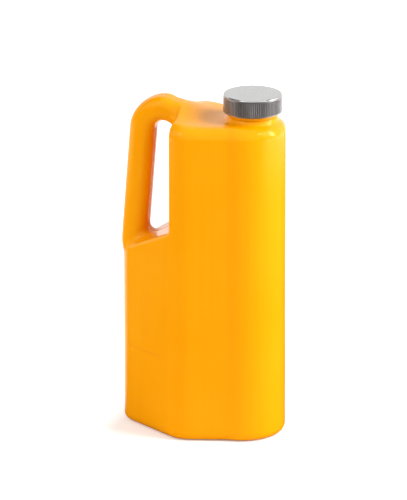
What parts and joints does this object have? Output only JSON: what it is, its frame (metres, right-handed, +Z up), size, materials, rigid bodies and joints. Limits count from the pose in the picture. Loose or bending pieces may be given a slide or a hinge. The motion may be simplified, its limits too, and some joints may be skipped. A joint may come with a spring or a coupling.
{
  "type": "safety can",
  "caption": "Blow-moulded polyethylene safety can with an open grip handle, a flame arrester in its neck and a screw cap with a sprung relief valve.",
  "frame": {"origin": "middle of the can's length and width, on the plane it stands on", "axes": "+Z up, +X towards the neck and cap, +Y to the left"},
  "size_m": [0.1438, 0.0942, 0.3014],
  "materials": {
    "can": "satin",
    "flange": "satin",
    "oring": "matte",
    "tube": "satin",
    "gauze": "matte",
    "end_cup": "satin",
    "cap": "polished",
    "pin": "satin",
    "clip": "satin",
    "washer": "satin",
    "plate": "satin",
    "seal": "matte",
    "spring": "satin"
  },
  "bodies": {
    "can": {"can_body": "can", "arrester_flange": "flange", "arrester_oring": "oring", "arrester_tube": "tube", "arrester_gauze": "gauze", "arrester_end_cup": "end_cup"},
    "lift": {"slip_washer": "washer", "relief_spring": "spring"},
    "cap": {"cap_shell": "cap", "guide_pin": "pin", "pin_clip": "clip"},
    "seal": {"seal_plate": "plate", "seal_ring": "seal"}
  },
  "joints": [
    {"name": "cap_rise", "type": "slide", "parent": "can", "child": "lift", "axis": [0, 0, 1], "range_m": [0, 0.006]},
    {"name": "cap_turn", "type": "hinge", "parent": "lift", "child": "cap", "pos_m": [0.0432, 0, 0.2861], "axis": [0, 0, 1], "range_deg": [0, 540]},
    {"name": "seal_relief", "type": "slide", "parent": "lift", "child": "seal", "axis": [0, 0, 1], "range_m": [0, 0.0012], "stiffness_N_per_m": 5000, "springref_m": -0.0044, "deforming": ["relief_spring"]}
  ],
  "couplings": [
    {"joint": "cap_rise", "follows": "cap_turn", "m_per_rad": 0.00063662}
  ]
}
